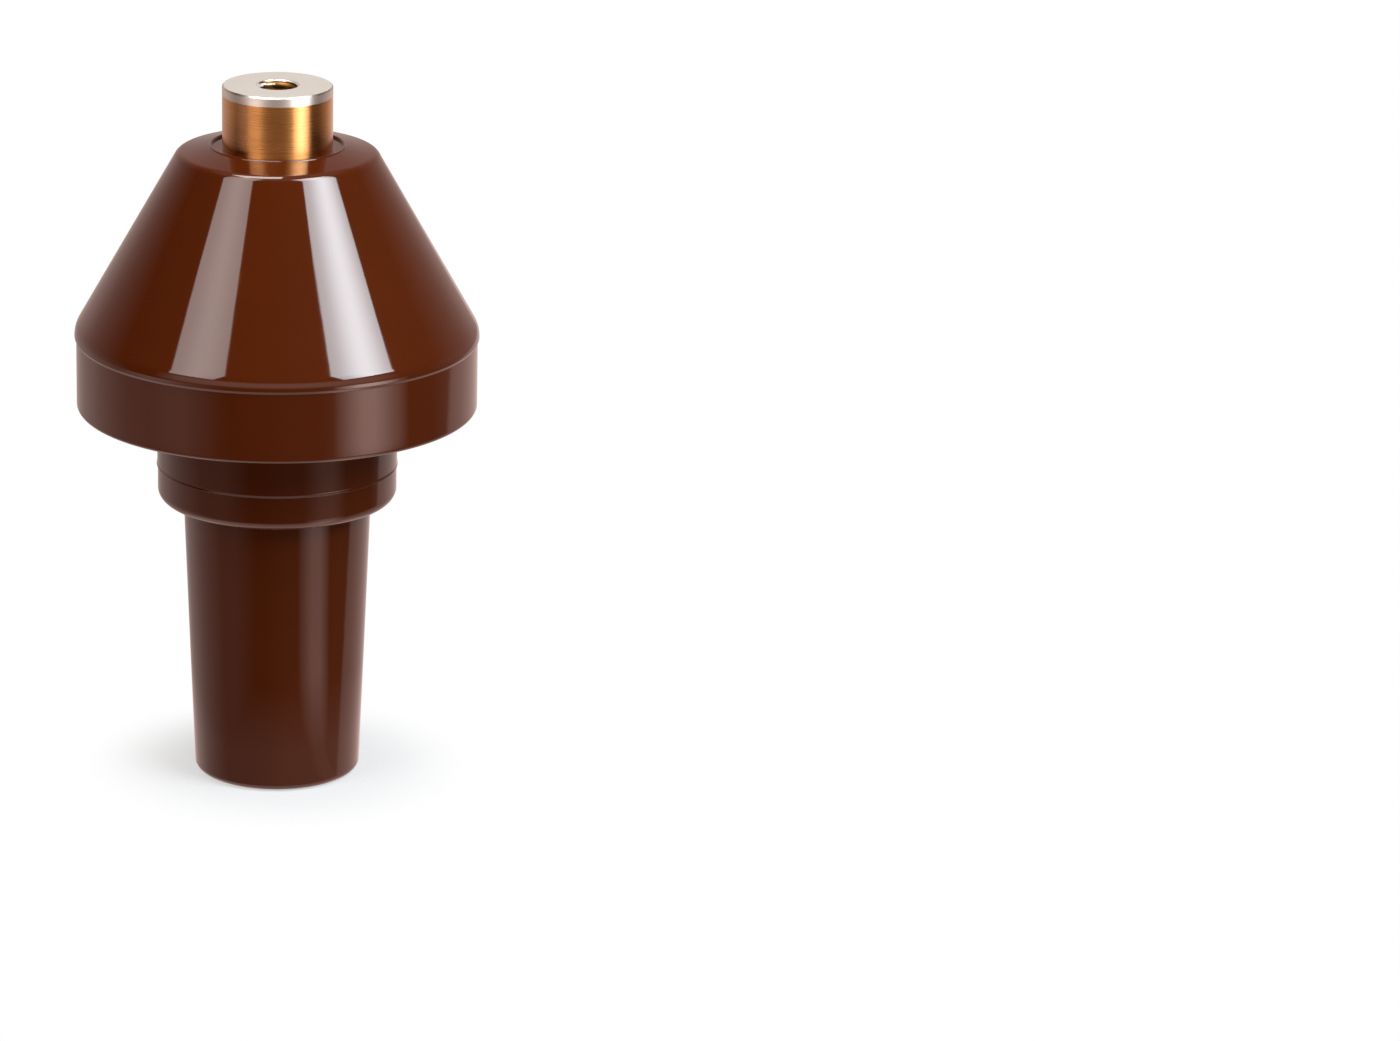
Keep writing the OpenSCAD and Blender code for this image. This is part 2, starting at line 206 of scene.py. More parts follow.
def shape_tree(name, sizes):
    """A geometry tree with named inputs, and its input sockets."""
    tree = bpy.data.node_groups.new(name, "GeometryNodeTree")
    tree.interface.new_socket("Geometry", in_out="INPUT", socket_type="NodeSocketGeometry")
    tree.interface.new_socket("Geometry", in_out="OUTPUT", socket_type="NodeSocketGeometry")
    for size, kind in sizes.items():
        tree.interface.new_socket(size, in_out="INPUT", socket_type="NodeSocket" + kind)
    return tree, add(tree, "NodeGroupInput").outputs


def wrapped_grid(tree, steps, rows):
    """A grid that is to be wrapped round the axis.

    With it come each point's way round, as a share of the turn and as an angle, and its row.
    """
    columns = add(tree, "ShaderNodeMath", {0: steps, 1: 1})
    lines = add(tree, "ShaderNodeMath", {0: rows, 1: 1})
    grid = add(tree, "GeometryNodeMeshGrid", {
        "Size X": 1, "Size Y": 1, "Vertices X": columns, "Vertices Y": lines,
    })
    place = add(tree, "ShaderNodeSeparateXYZ", {0: add(tree, "GeometryNodeInputPosition")})
    share = place.outputs["X"]
    angle = add(
        tree, "ShaderNodeMath", {0: share, 1: math.tau, 2: math.pi}, operation="MULTIPLY_ADD"
    )
    down = add(tree, "ShaderNodeMath", {0: place.outputs["Y"], 1: 0.5})
    along = add(tree, "ShaderNodeMath", {0: down, 1: rows}, operation="MULTIPLY")
    row = add(tree, "ShaderNodeMath", {0: along}, operation="ROUND")
    return grid, share, angle, row


def end_tree(tree, shape, finishes):
    """Welds the shape, makes it real and gives each chosen part of it a finish."""
    welded = add(tree, "GeometryNodeMergeByDistance", {"Geometry": shape, "Distance": WELD})
    smooth = add(tree, "GeometryNodeSetShadeSmooth", {"Geometry": welded})
    finished = add(tree, "GeometryNodeRealizeInstances", {"Geometry": smooth})
    for finish, chosen in finishes:
        finished = add(tree, "GeometryNodeSetMaterial", {
            "Geometry": finished, "Selection": chosen, "Material": finish,
        })
    add(tree, "NodeGroupOutput", {"Geometry": finished})
    return tree


def turning_tree():
    """Turns an outline, given as points in the XZ plane, round the axis."""
    tree, given = shape_tree("turned_part", {
        "Outline Points": "Int", "Steps": "Int", "Side Finish": "Material",
        "End Finish": "Material",
    })
    last = add(
        tree, "ShaderNodeMath", {0: given["Outline Points"], 1: 1}, operation="SUBTRACT"
    )
    grid, _, angle, row = wrapped_grid(tree, given["Steps"], last)
    point = add(
        tree, "GeometryNodeSampleIndex", {
            "Geometry": given["Geometry"], "Index": row,
            "Value": add(tree, "GeometryNodeInputPosition"),
        }, data_type="FLOAT_VECTOR", domain="POINT",
    )
    turned = add(
        tree, "ShaderNodeVectorRotate", {"Vector": point, "Angle": angle},
        rotation_type="Z_AXIS",
    )
    shape = add(tree, "GeometryNodeSetPosition", {"Geometry": grid, "Position": turned})

    # A face that looks along the axis, or nearly so, is part of a flat end
    facing = add(tree, "ShaderNodeSeparateXYZ", {0: add(tree, "GeometryNodeInputNormal")})
    upright = add(tree, "ShaderNodeMath", {0: facing.outputs["Z"]}, operation="ABSOLUTE")
    end = add(tree, "ShaderNodeMath", {0: upright, 1: 0.95}, operation="GREATER_THAN")
    return end_tree(
        tree, shape, [(given["Side Finish"], True), (given["End Finish"], end)]
    )


def thread_tree():
    """Adds the wall of a tapped hole with a countersunk mouth and a pointed end to a part.

    The wall is one helix of rows. Side is 1 where the mouth faces up and -1 where it faces down.
    """
    tree, given = shape_tree("tapped_hole", {
        "Core Radius": "Float", "Thread Depth": "Float", "Pitch": "Float", "Depth": "Float",
        "Point": "Float", "Mouth Radius": "Float", "Mouth Height": "Float", "Side": "Float",
        "Steps": "Int", "Rows": "Int", "Rows Per Turn": "Int",
        "Thread Finish": "Material", "Mouth Finish": "Material",
    })
    grid, share, angle, row = wrapped_grid(tree, given["Steps"], given["Rows"])
    turns = add(
        tree, "ShaderNodeMath", {0: row, 1: given["Rows Per Turn"]}, operation="DIVIDE"
    )
    lead = add(
        tree, "ShaderNodeMath", {0: share, 1: given["Side"], 2: 0.5}, operation="MULTIPLY_ADD"
    )
    wound = add(tree, "ShaderNodeMath", {0: turns, 1: lead}, operation="SUBTRACT")
    sunk = add(tree, "ShaderNodeMath", {0: wound, 1: given["Pitch"]}, operation="MULTIPLY")
    depth = add(tree, "ShaderNodeClamp", {"Value": sunk, "Min": 0, "Max": given["Depth"]})

    # Flanks of 60 degrees: an eighth of the pitch is flat at the root, a quarter at the crest
    phase = add(tree, "ShaderNodeMath", {0: turns}, operation="FRACT")
    offset = add(tree, "ShaderNodeMath", {0: phase, 1: 0.5}, operation="SUBTRACT")
    away = add(tree, "ShaderNodeMath", {0: offset}, operation="ABSOLUTE")
    flank = add(tree, "ShaderNodeMapRange", {
        "Value": away, "From Min": 0.375, "From Max": 0.0625, "To Min": 0, "To Max": 1,
    })
    left = add(tree, "ShaderNodeMath", {0: given["Depth"], 1: depth}, operation="SUBTRACT")
    fade = add(tree, "ShaderNodeMapRange", {
        "Value": left, "From Min": 0, "From Max": given["Pitch"], "To Min": 0, "To Max": 1,
    })
    cut = add(tree, "ShaderNodeMath", {0: flank, 1: fade}, operation="MULTIPLY")
    wall = add(
        tree, "ShaderNodeMath", {0: cut, 1: given["Thread Depth"], 2: given["Core Radius"]},
        operation="MULTIPLY_ADD",
    )
    sink = add(
        tree, "ShaderNodeMath", {0: given["Mouth Radius"], 1: depth}, operation="SUBTRACT"
    )
    radius = add(tree, "ShaderNodeMath", {0: wall, 1: sink}, operation="MAXIMUM")

    # The last row is the tip of the drill point
    end = add(
        tree, "ShaderNodeMath", {0: row, 1: given["Rows"], 2: 0.5}, operation="COMPARE"
    )
    keep = add(tree, "ShaderNodeMath", {0: 1, 1: end}, operation="SUBTRACT")
    reach = add(tree, "ShaderNodeMath", {0: radius, 1: keep}, operation="MULTIPLY")
    deepest = add(
        tree, "ShaderNodeMath", {0: end, 1: given["Point"], 2: depth}, operation="MULTIPLY_ADD"
    )
    fall = add(
        tree, "ShaderNodeMath", {0: deepest, 1: given["Side"]}, operation="MULTIPLY"
    )
    height = add(
        tree, "ShaderNodeMath", {0: given["Mouth Height"], 1: fall}, operation="SUBTRACT"
    )
    spoke = add(tree, "ShaderNodeCombineXYZ", {"X": reach, "Z": height})
    turned = add(
        tree, "ShaderNodeVectorRotate", {"Vector": spoke, "Angle": angle},
        rotation_type="Z_AXIS",
    )

    # The wall is marked 1 in the thread and 2 in the countersink
    sunk_part = add(tree, "ShaderNodeMath", {0: sink, 1: wall}, operation="GREATER_THAN")
    part = add(tree, "ShaderNodeMath", {0: sunk_part, 1: 1})
    marked = add(tree, "GeometryNodeCaptureAttribute", {"Geometry": grid}, domain="FACE")
    marked.capture_items.new("FLOAT", "Part")
    tree.links.new(part.outputs[0], marked.inputs["Part"])
    bore = add(tree, "GeometryNodeSetPosition", {
        "Geometry": marked.outputs["Geometry"], "Position": turned,
    })
    joined = add(tree, "GeometryNodeJoinGeometry", {"Geometry": bore})
    tree.links.new(given["Geometry"], joined.inputs["Geometry"])
    thread = add(
        tree, "ShaderNodeMath", {0: marked.outputs["Part"], 1: 0.5}, operation="GREATER_THAN"
    )
    mouth = add(
        tree, "ShaderNodeMath", {0: marked.outputs["Part"], 1: 1.5}, operation="GREATER_THAN"
    )
    return end_tree(
        tree, joined, [(given["Thread Finish"], thread), (given["Mouth Finish"], mouth)]
    )


def ring_tree():
    """Sets copies of a part on a circle, each turned to face outwards."""
    tree, given = shape_tree("ring_of_parts", {
        "Count": "Int", "Ring Radius": "Float", "First Angle": "Float",
    })
    circle = add(tree, "GeometryNodeMeshCircle", {
        "Vertices": given["Count"], "Radius": given["Ring Radius"],
    })
    first = add(tree, "ShaderNodeCombineXYZ", {"Z": given["First Angle"]})
    seats = add(tree, "GeometryNodeTransform", {"Geometry": circle, "Rotation": first})
    index = add(tree, "GeometryNodeInputIndex")
    step = add(
        tree, "ShaderNodeMath", {0: math.tau, 1: given["Count"]}, operation="DIVIDE"
    )
    angle = add(
        tree, "ShaderNodeMath", {0: index, 1: step, 2: given["First Angle"]},
        operation="MULTIPLY_ADD",
    )
    turn = add(tree, "ShaderNodeCombineXYZ", {"Z": angle})
    copies = add(tree, "GeometryNodeInstanceOnPoints", {
        "Points": seats, "Instance": given["Geometry"], "Rotation": turn,
    })
    return end_tree(tree, copies, [])


TURNING = turning_tree()
THREAD = thread_tree()
RING = ring_tree()


def grow(tree, base, values):
    """The mesh that a tree makes of a base mesh, with values by the names of the tree's inputs."""
    holder = bpy.data.objects.new(tree.name, base)
    scene.collection.objects.link(holder)
    modifier = holder.modifiers.new("shape", "NODES")
    modifier.node_group = tree
    for item in tree.interface.items_tree:
        if item.in_out == "INPUT" and item.name in values:
            modifier[item.identifier] = values[item.name]
    graph = bpy.context.evaluated_depsgraph_get()
    mesh = bpy.data.meshes.new_from_object(holder.evaluated_get(graph))
    bpy.data.objects.remove(holder)
    return mesh


def turn(points, steps, finish, end_finish=None):
    """A part turned from an outline in mm. Its flat ends may have a finish of their own."""
    base = bpy.data.meshes.new("outline")
    base.from_pydata([(p.x * MM, 0, p.y * MM) for p in points], [], [])
    return grow(TURNING, base, {
        "Outline Points": len(points), "Steps": steps, "Side Finish": finish,
        "End Finish": end_finish or finish,
    })


def tap(mesh, steps, side, mouth_z, mouth_r, core_r, major_r, pitch, depth, finishes):
    """The mesh with a tapped hole welded into its round opening. Sizes are in mm.

    The finishes are that of the thread and that of the countersink.
    """
    rows_a_turn = 8
    drill_angle = math.radians(118)
    return grow(THREAD, mesh, {
        "Core Radius": core_r * MM,
        "Thread Depth": (major_r - core_r) * MM,
        "Pitch": pitch * MM,
        "Depth": depth * MM,
        "Point": core_r / math.tan(drill_angle / 2) * MM,
        "Mouth Radius": mouth_r * MM,
        "Mouth Height": mouth_z * MM,
        "Side": side,
        "Steps": steps,
        "Rows": math.ceil((depth / pitch + 1) * rows_a_turn) + 1,
        "Rows Per Turn": rows_a_turn,
        "Thread Finish": finishes[0],
        "Mouth Finish": finishes[1],
    })


def set_round(mesh):
    """Copies of a part at the places of the inserts."""
    return grow(RING, mesh, {
        "Count": INSERT_COUNT, "Ring Radius": INSERT_RING_R * MM, "First Angle": math.pi / 6,
    })


def loft(rings, finish=None):
    """A closed solid through rings of points in mm, each ring with the same number of points."""
    form = bmesh.new()
    rows = [[form.verts.new(Vector(p) * MM) for p in ring] for ring in rings]
    count = len(rings[0])
    for low, high in zip(rows, rows[1:]):
        for i in range(count):
            j = (i + 1) % count
            form.faces.new((low[i], low[j], high[j], high[i]))
    form.faces.new(list(reversed(rows[0])))
    form.faces.new(rows[-1])
    mesh = bpy.data.meshes.new("loft")
    form.to_mesh(mesh)
    form.free()
    if finish:
        mesh.materials.append(finish)
    return mesh


def settle(name, mesh, nodes, sharp=35):
    """The finished piece: faces outwards, crisp edges kept, standing for its solids.

    An edge is crisp where its faces meet at more than the angle sharp, in degrees.
    """
    form = bmesh.new()
    form.from_mesh(mesh)
    bmesh.ops.remove_doubles(form, verts=form.verts, dist=WELD)
    bmesh.ops.dissolve_degenerate(form, edges=form.edges, dist=WELD)
    bmesh.ops.recalc_face_normals(form, faces=form.faces)
    for face in form.faces:
        face.smooth = True
    form.to_mesh(mesh)
    form.free()
    mesh.set_sharp_from_angle(angle=math.radians(sharp))
    piece = bpy.data.objects.new(name, mesh)
    scene.collection.objects.link(piece)
    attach(piece, BODY)
    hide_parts(*nodes)
    return piece


# Finishes

def finish_tree(name):
    """A new material, its nodes, and its coordinates in mm."""
    material = bpy.data.materials.new(name)
    material.use_nodes = True
    tree = material.node_tree
    tree.nodes.clear()
    place = add(tree, "ShaderNodeTexCoord").outputs["Object"]
    mm = add(tree, "ShaderNodeVectorMath", {0: place, "Scale": 1 / MM}, operation="SCALE")
    return material, tree, mm


def cast_epoxy():
    """Filled epoxy resin cast in a polished mould: deep red-brown, and glossy as glass.

    The iron oxide pigment lies in faint clouds, the quartz filler shows as the finest speckle,
    and the gloss changes a little where the mould's release wax lay.
    """
    material, tree, mm = finish_tree("cast_epoxy_resin_moulded")
    cloud = add(tree, "ShaderNodeTexNoise", {"Vector": mm, "Scale": 0.035, "Detail": 3})
    pigment = add(
        tree, "ShaderNodeMix", {"Factor": cloud, "A": linear("#3d1604"), "B": linear("#441905")},
        data_type="RGBA",
    )
    speck = add(tree, "ShaderNodeTexNoise", {"Vector": mm, "Scale": 2.5, "Detail": 2})
    shade = add(tree, "ShaderNodeMapRange", {
        "Value": speck, "From Min": NOISE_LOW, "From Max": NOISE_HIGH,
        "To Min": 0.94, "To Max": 1.06,
    })
    colour = add(
        tree, "ShaderNodeVectorMath", {0: pigment, "Scale": shade}, operation="SCALE"
    )
    wax = add(tree, "ShaderNodeTexNoise", {"Vector": mm, "Scale": 0.09, "Detail": 4})
    gloss = add(tree, "ShaderNodeMapRange", {
        "Value": wax, "From Min": NOISE_LOW, "From Max": NOISE_HIGH,
        "To Min": 0.04, "To Max": 0.06,
    })
    flow = add(tree, "ShaderNodeTexNoise", {"Vector": mm, "Scale": 0.12, "Detail": 1})
    skin = add(tree, "ShaderNodeBump", {"Height": flow, "Strength": 1, "Distance": 0.01 * MM})
    shader = add(tree, "ShaderNodeBsdfPrincipled", {
        "Base Color": colour, "Roughness": gloss, "IOR": 1.55, "Normal": skin,
    })
    add(tree, "ShaderNodeOutputMaterial", {"Surface": shader})
    return material


def turned_metal(name, tint, worn_tint, gloss, marks_mm, stretch, film=0):
    """A lathe-turned metal: fine rings run round the axis, and light spreads across them.

    The tool's feed marks are some hundredths of a millimetre apart. They are drawn marks_mm
    apart, so that they show. A film of clear lacquer adds a pale gleam at the edges.
    """
    material, tree, mm = finish_tree(name)
    x, y, z = add(tree, "ShaderNodeSeparateXYZ", {0: mm}).outputs
    square_x = add(tree, "ShaderNodeMath", {0: x, 1: 2}, operation="POWER")
    square_y = add(tree, "ShaderNodeMath", {0: y, 1: 2}, operation="POWER")
    squares = add(tree, "ShaderNodeMath", {0: square_x, 1: square_y})
    radius = add(tree, "ShaderNodeMath", {0: squares}, operation="SQRT")
    drift = 0.02
    around = add(tree, "ShaderNodeVectorMath", {0: mm, "Scale": drift}, operation="SCALE")
    drifted = add(tree, "ShaderNodeSeparateXYZ", {0: around}).outputs
    across = add(tree, "ShaderNodeMath", {0: radius, 1: z})
    feed = add(tree, "ShaderNodeMath", {0: across, 1: 1 / marks_mm}, operation="MULTIPLY")
    ways = add(tree, "ShaderNodeCombineXYZ", {"X": drifted["X"], "Y": drifted["Y"], "Z": feed})
    marks = add(
        tree, "ShaderNodeTexNoise", {"Vector": ways, "Scale": 1, "Detail": 2, "Roughness": 0.6}
    )
    dull = add(tree, "ShaderNodeTexNoise", {"Vector": mm, "Scale": 0.2, "Detail": 3})
    tone = add(tree, "ShaderNodeMath", {0: marks, 1: 0.6}, operation="MULTIPLY")
    blend = add(tree, "ShaderNodeMath", {0: dull, 1: 0.4, 2: tone}, operation="MULTIPLY_ADD")
    colour = add(
        tree, "ShaderNodeMix", {"Factor": blend, "A": linear(tint), "B": linear(worn_tint)},
        data_type="RGBA",
    )
    rough = add(tree, "ShaderNodeMapRange", {
        "Value": marks, "From Min": NOISE_LOW, "From Max": NOISE_HIGH,
        "To Min": gloss - 0.04, "To Max": gloss + 0.06,
    })
    groove = add(
        tree, "ShaderNodeBump", {"Height": marks, "Strength": 1, "Distance": 0.0006 * MM}
    )
    ring = add(tree, "ShaderNodeTangent", direction_type="RADIAL", axis="Z")
    shader = add(tree, "ShaderNodeBsdfPrincipled", {
        "Base Color": colour, "Roughness": rough, "Metallic": 1, "Normal": groove,
        "Anisotropic": stretch, "Anisotropic Rotation": 0.25, "Tangent": ring,
        "Coat Weight": film, "Coat Roughness": 0.12,
    })
    add(tree, "ShaderNodeOutputMaterial", {"Surface": shader})
    return material


def moulded_plastic(name, tint, gloss):
    """An engineering plastic, moulded with a fine eroded texture: dull, with a soft highlight."""
    material, tree, mm = finish_tree(name)
    grain = add(tree, "ShaderNodeTexNoise", {"Vector": mm, "Scale": 6, "Detail": 3})
    shade = add(tree, "ShaderNodeMapRange", {
        "Value": grain, "From Min": NOISE_LOW, "From Max": NOISE_HIGH,
        "To Min": 0.9, "To Max": 1.1,
    })
    colour = add(
        tree, "ShaderNodeVectorMath", {0: linear(tint)[:3], "Scale": shade}, operation="SCALE"
    )
    pits = add(tree, "ShaderNodeBump", {"Height": grain, "Strength": 1, "Distance": 0.006 * MM})
    shader = add(tree, "ShaderNodeBsdfPrincipled", {
        "Base Color": colour, "Roughness": gloss, "Normal": pits,
    })
    add(tree, "ShaderNodeOutputMaterial", {"Surface": shader})
    return material


def drawn_metal(name, tint, gloss, run_mm):
    """A rolled or drawn metal: long faint streaks along Z, and an even shine."""
    material, tree, mm = finish_tree(name)
    streaks = add(tree, "ShaderNodeMapping", {"Vector": mm, "Scale": (4, 4, 1 / run_mm)})
    lines = add(tree, "ShaderNodeTexNoise", {"Vector": streaks, "Scale": 1, "Detail": 3})
    shade = add(tree, "ShaderNodeMapRange", {
        "Value": lines, "From Min": NOISE_LOW, "From Max": NOISE_HIGH,
        "To Min": 0.88, "To Max": 1,
    })
    colour = add(
        tree, "ShaderNodeVectorMath", {0: linear(tint)[:3], "Scale": shade}, operation="SCALE"
    )
    rough = add(tree, "ShaderNodeMapRange", {
        "Value": lines, "From Min": NOISE_LOW, "From Max": NOISE_HIGH,
        "To Min": gloss - 0.04, "To Max": gloss + 0.05,
    })
    shader = add(tree, "ShaderNodeBsdfPrincipled", {
        "Base Color": colour, "Roughness": rough, "Metallic": 1,
    })
    add(tree, "ShaderNodeOutputMaterial", {"Surface": shader})
    return material


RESIN = cast_epoxy()

# Bright golden copper under clear lacquer, and the darker oiled copper of the tapped holes
COPPER = turned_metal(
    "copper_bar_turned", "#dfa05e", "#d09050", gloss=0.28, marks_mm=0.2, stretch=1, film=0.6
)
THREAD_COPPER = turned_metal(
    "copper_thread_oiled", "#8a6a3a", "#5c4020", gloss=0.42, marks_mm=0.3, stretch=0.3
)
# Pale silver: brushed and streaky on the bar's side, satin on its end face
SILVER = turned_metal(
    "silver_plate_brushed", "#f5f0e8", "#eae4da", gloss=0.4, marks_mm=0.2, stretch=0.85
)
SILVER_END = turned_metal(
    "silver_plate_satin", "#d9d8d2", "#cecdc6", gloss=0.6, marks_mm=0.25, stretch=0
)
# Yellow brass, turned bright
BRASS = turned_metal(
    "brass_insert_turned", "#e8cc8c", "#d2ad62", gloss=0.26, marks_mm=0.3, stretch=0.4
)

# The socket's near-black shell and the light grey of its block, both with a dull skin
SHELL_BLACK = moulded_plastic("polyamide_black_moulded", "#1b1a1a", gloss=0.45)
BLOCK_GREY = moulded_plastic("polyester_grey_moulded", "#8b8c8e", gloss=0.5)

# Gilt contacts, a grey rolled sheet, and wires with a warm tinned skin
GILT = drawn_metal("brass_gilt_stamped", "#e0bd6a", gloss=0.3, run_mm=6)
SHEET = drawn_metal("aluminium_sheet_rolled", "#b9bcbf", gloss=0.35, run_mm=20)
WIRE = drawn_metal("copper_wire_tinned", "#cfa37c", gloss=0.35, run_mm=20)


# The resin casting

def crown_outline():
    """Outline of the crown: the corner with the cone's side, the slope, and the well's lip."""
    upright = math.pi / 2
    lip_r, lip_z = WELL_R + WELL_LIP_R, CONE_TOP - WELL_LIP_R
    sunk = WELL_LIP_R - WELL_LIP_H
    slope_z = lip_z + sunk / math.cos(CROWN_ANGLE)
    edge_z = slope_z - (CROWN_R - lip_r) * math.tan(CROWN_ANGLE)
    reach = CROWN_EDGE_R * math.tan((upright - CROWN_ANGLE - CONE_ANGLE) / 2)
    head = (CROWN_R + reach * math.cos(CROWN_ANGLE), edge_z - reach * math.sin(CROWN_ANGLE))
    lip_foot = upright - CROWN_ANGLE - math.acos(sunk / WELL_LIP_R)
    return [
        (*head, CROWN_EDGE_R),
        *bead((lip_r, lip_z), WELL_LIP_R, lip_foot, math.pi),
    ]


def mould_line():
    """Corners of the low ridge that the mould's parting left round the collar."""
    return [
        (COLLAR_R, COLLAR_LINE_Z - 0.3, 0),
        (COLLAR_TOP_R + 0.2, COLLAR_LINE_Z - 0.1, 0.1),
        (COLLAR_TOP_R, COLLAR_LINE_Z + 0.55, 0),
    ]


def lock_grooves():
    """Corners of the lock grooves round the bar, where the resin grips it, from the top down."""
    depth, half_floor, half_mouth = 0.8, 3, 3.8
    low, high = COLLAR_Z / 2, (RIDGE_Z + CONE_TOP) / 2
    corners = []
    for i in (3, 2, 1, 0):
        z = low + (high - low) * i / 3
        corners += [
            (BAR_R, z + half_mouth, 0), (BAR_R - depth, z + half_floor, 0),
            (BAR_R - depth, z - half_floor, 0), (BAR_R, z - half_mouth, 0),
        ]
    return corners


def casting_outline():
    """Outline of the whole casting, up its outside and down its bore."""
    # A shallow recess rings the spigot's root, and the spigot's taper runs on into it
    recess_r, recess_z = SPIGOT_ROOT_R + 3, COLLAR_Z + 1.5
    taper_end_r = SPIGOT_ROOT_R + 0.06
    shoulder_z = RIDGE_Z + SHOULDER_R * math.tan(CONE_ANGLE / 2)
    # The bore is a little wider at the foot of the bar
    foot_gap_r, foot_gap_top = BAR_R + 0.3, BAR_FOOT + 0.5
    return outline([
        (foot_gap_r, 0, 0),
        (SPIGOT_END_R, 0, 2.2),
        (taper_end_r, recess_z, 0.3),
        (recess_r, recess_z, 0.3),
        (recess_r, COLLAR_Z, 0.3),
        (COLLAR_R, COLLAR_Z, 3.2),
        *mould_line(),
        (COLLAR_TOP_R, BOSS_Z, 0.5),
        (BOSS_R, BOSS_Z, 0.4),
        (BOSS_R, GROOVE_Z, 0.4),
        (GROOVE_R, GROOVE_Z, 0.4),
        (GROOVE_R, LEDGE_Z, 0.4),
        (LEDGE_R, LEDGE_Z, 0.4),
        (LEDGE_R, RIM_Z, 0.4),
        (RIM_R, RIM_Z, 1.2),
        (RIM_R, RIDGE_Z - RIM_STEP_H, 0.2),
        (RIDGE_R, RIDGE_Z, 0.2),
        (RIDGE_R, shoulder_z, SHOULDER_R - 0.6),
        *crown_outline(),
        (WELL_R, WELL_Z, 0),
        (BAR_R, WELL_Z, 0),
        *lock_grooves(),
        (BAR_R, foot_gap_top, 0),
        (foot_gap_r, foot_gap_top, 0),
    ])


def rounded_ring(z, half_w, half_len, corner, inset=0, steps=4):
    """A rounded rectangle at the socket's centre, at a level and drawn in by an inset, in mm."""
    points = []
    for i, (sx, sy) in enumerate(((1, -1), (1, 1), (-1, 1), (-1, -1))):
        for k in range(steps + 1):
            a = math.radians(90 * (i - 1) + 90 * k / steps)
            points.append((
                SOCKET_R + sx * (half_w - corner) + (corner - inset) * math.cos(a),
                sy * (half_len - corner) + (corner - inset) * math.sin(a),
                z,
            ))
    return points


def socket_ring(z, inset):
    """The socket's outline at a level, drawn in by an inset."""
    return rounded_ring(z, half_w=2.9, half_len=5.9, corner=1.8, inset=inset, steps=8)


def circle_ring(radius, z):
    """Points of a circle at a level, in mm."""
    return [(radius * math.cos(a), radius * math.sin(a), z) for a in INSERT_ANGLES]


def hexagon_ring(flats, z):
    """Points of a hexagon at the same angles as those of a circle."""
    half_span = math.pi / 6
    points = []
    for a in INSERT_ANGLES:
        from_corner = abs((a + half_span) % (2 * half_span) - half_span)
        r = flats / 2 / math.cos(half_span - from_corner)
        points.append((r * math.cos(a), r * math.sin(a), z))
    return points


def cut(mesh, cutter):
    """The mesh with the cutter's room taken out of it."""
    body = bpy.data.objects.new("casting_blank", mesh)
    tool = bpy.data.objects.new("pocket_cutter", cutter)
    for item in (body, tool):
        scene.collection.objects.link(item)
    modifier = body.modifiers.new("pocket", "BOOLEAN")
    modifier.object = tool
    modifier.operation = "DIFFERENCE"
    modifier.solver = "EXACT"
    graph = bpy.context.evaluated_depsgraph_get()
    result = bpy.data.meshes.new_from_object(body.evaluated_get(graph))
    bpy.data.objects.remove(body)
    bpy.data.objects.remove(tool)
    return result


def resin_casting():
    """The casting with the pockets of the inserts and of the socket, each open below the boss.

    The inserts' pockets are a hair wider than the brass, which leaves a dark line round each.
    """
    open_z = BOSS_Z - 0.8
    spare = 0.1
    dark_line, flare = 0.07, 1.2
    blank = turn(casting_outline(), CASTING_STEPS, RESIN)
    seat = loft([
        circle_ring(INSERT_R + dark_line, open_z),
        circle_ring(INSERT_R + dark_line, BOSS_Z + INSERT_LEN + spare),
    ])
    mouth = loft([
        socket_ring(open_z, -flare), socket_ring(SOCKET_FACE, 0),
        socket_ring(SOCKET_TOP + spare, 0),
    ])
    body = cut(cut(blank, set_round(seat)), mouth)
    body.materials.clear()
    body.materials.append(RESIN)
    return settle("resin_casting", body, ["resin_body"])


# The copper bar, its plated ends, the inserts and the socket

def bar_outline():
    """The bar from the mouth of its top hole round to the mouth of its foot hole."""
    top, foot = BAR_TOP - PLATING_T, BAR_FOOT + PLATING_T
    thin = BAR_R - PLATING_T
    return outline([
        (TOP_SINK_R - PLATING_T, top, 0),
        (thin - BAR_BEVEL, top, 0),
        (thin, top - BAR_BEVEL, 0),
        (thin, BAR_TOP - PLATING_BAND, 0),
        (BAR_R, BAR_TOP - PLATING_BAND, 0.04),
        *lock_grooves(),
        (BAR_R, BAR_FOOT + PLATING_BAND, 0.04),
        (thin, BAR_FOOT + PLATING_BAND, 0),
        (thin, foot + BAR_BEVEL, 0),
        (thin - BAR_BEVEL, foot, 0),
        (FOOT_SINK_R - PLATING_T, foot, 0),
    ], closed=False)


def copper_bar():
    """The bar, tapped M12 at the top and M16 at the foot, each with its countersink silvered."""
    finishes = (THREAD_COPPER, SILVER_END)
    bar = turn(bar_outline(), BAR_STEPS, COPPER)
    bar = tap(
        bar, BAR_STEPS, side=1, mouth_z=BAR_TOP - PLATING_T, mouth_r=TOP_SINK_R - PLATING_T,
        core_r=5.1, major_r=6, pitch=1.75, depth=26, finishes=finishes,
    )
    bar = tap(
        bar, BAR_STEPS, side=-1, mouth_z=BAR_FOOT + PLATING_T, mouth_r=FOOT_SINK_R - PLATING_T,
        core_r=7, major_r=8, pitch=2, depth=34, finishes=finishes,
    )
    return settle("copper_bar", bar, ["conductor"])


